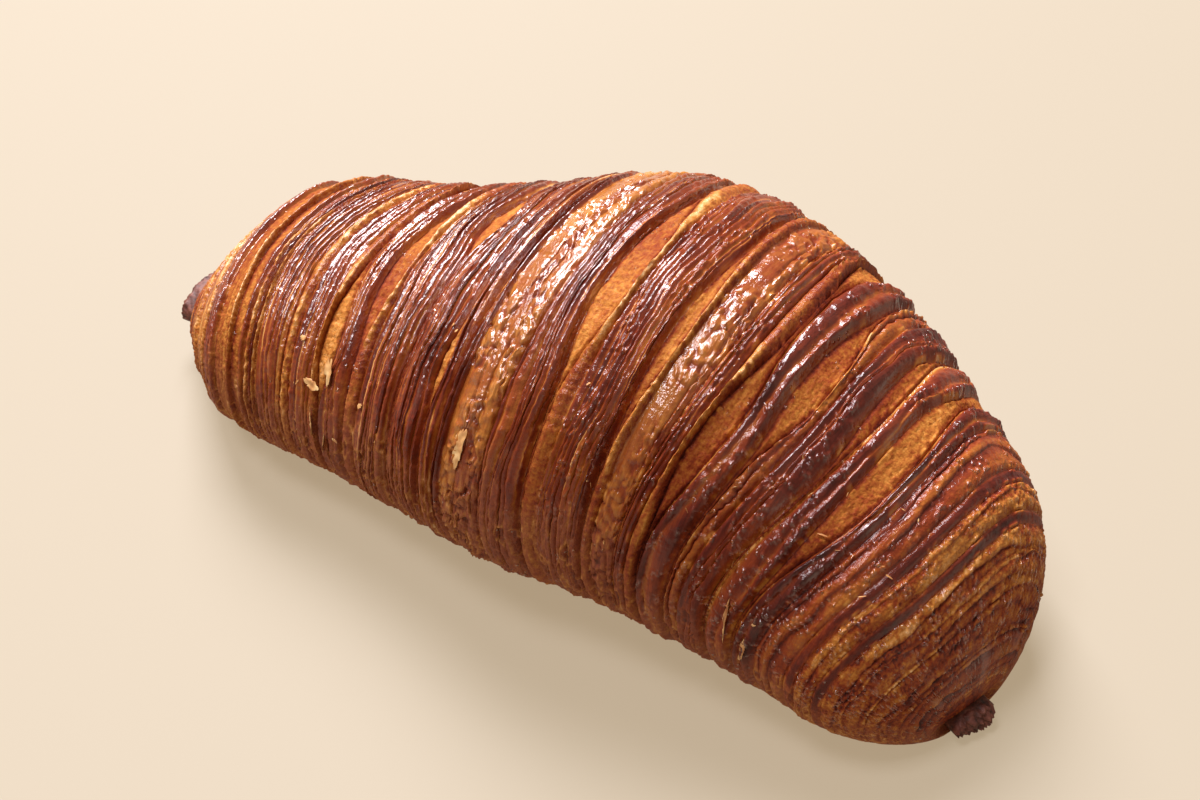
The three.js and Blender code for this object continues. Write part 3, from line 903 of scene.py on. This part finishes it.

# The table top, lights and camera. The pastry lies on a plain pale floor under two windows of light, a
# broad one behind its narrow tip and a small one in the roof. The floor itself glows with weak warm
# light, a painted fill that lightens the shadow on it and lights the pastry from below.
FLOOR_SIDE = 6
FLOOR_COLOUR = colour(122, 116, 106)
FLOOR_GLOW = colour(255, 229, 190)
FLOOR_GLOW_STRENGTH = 0.4
WINDOW_TINT = (0.95, 0.94, 1.0)
WINDOW_AIM = Vector((0, 0, 0.02))
WINDOWS = {
    "window_light": {"place": (-0.8, 0.8, 1.4), "sides": (0.9, 1.05), "power": 74},
    "roof_window": {"place": (-0.45, -0.4, 1.65), "sides": (0.45, 0.55), "power": 18},
}
ROOM_TINT = (1.0, 0.84, 0.66)
ROOM_STRENGTH = 0.24
VIEW_AZIMUTH = math.radians(32)
VIEW_ELEVATION = math.radians(44)
VIEW_DISTANCE = 0.25
VIEW_TARGET = Vector((-0.0053, 0.0128, 0))
PHOTO_WIDTH = 1200
PHOTO_FOCAL_PIXELS = 1450

bpy.ops.mesh.primitive_plane_add(size=FLOOR_SIDE)
floor = bpy.context.object
floor.name = "floor"
floor_finish, wire = new_finish("pale_floor")
# The floor's emission is a painted glow: warm fill light from a floor that is no lamp, lightening the
# shadow on it.
wire.node("ShaderNodeOutputMaterial", Surface=wire.node(
    "ShaderNodeBsdfPrincipled", Base_Color=(*FLOOR_COLOUR, 1), Roughness=0.7,
    Emission_Color=(*FLOOR_GLOW, 1), Emission_Strength=FLOOR_GLOW_STRENGTH,
    Specular_IOR_Level=0.2))
floor.data.materials.append(floor_finish)


def facing(towards):
    """The turn that points a light or a camera this way."""
    return towards.to_track_quat("-Z", "Y").to_euler()


for name, given in WINDOWS.items():
    lamp = bpy.data.lights.new(name, "AREA")
    lamp.shape = "RECTANGLE"
    lamp.size, lamp.size_y = given["sides"]
    lamp.energy = given["power"]
    lamp.color = WINDOW_TINT
    holder = bpy.data.objects.new(name, lamp)
    holder.location = given["place"]
    holder.rotation_euler = facing(WINDOW_AIM - Vector(given["place"]))
    bpy.context.scene.collection.objects.link(holder)

world = bpy.data.worlds.new("room")
bpy.context.scene.world = world
world.use_nodes = True
world.node_tree.nodes["Background"].inputs["Color"].default_value = (*ROOM_TINT, 1)
world.node_tree.nodes["Background"].inputs["Strength"].default_value = ROOM_STRENGTH

camera_data = bpy.data.cameras.new("camera")
camera_data.sensor_width = 36
camera_data.lens = camera_data.sensor_width * PHOTO_FOCAL_PIXELS / PHOTO_WIDTH
camera = bpy.data.objects.new("camera", camera_data)
back = Vector((math.sin(VIEW_AZIMUTH) * math.cos(VIEW_ELEVATION),
               -math.cos(VIEW_AZIMUTH) * math.cos(VIEW_ELEVATION), math.sin(VIEW_ELEVATION)))
camera.location = VIEW_TARGET + back * VIEW_DISTANCE
camera.rotation_euler = facing(-back)
bpy.context.scene.collection.objects.link(camera)
bpy.context.scene.camera = camera
bpy.context.scene.view_settings.view_transform = "Standard"
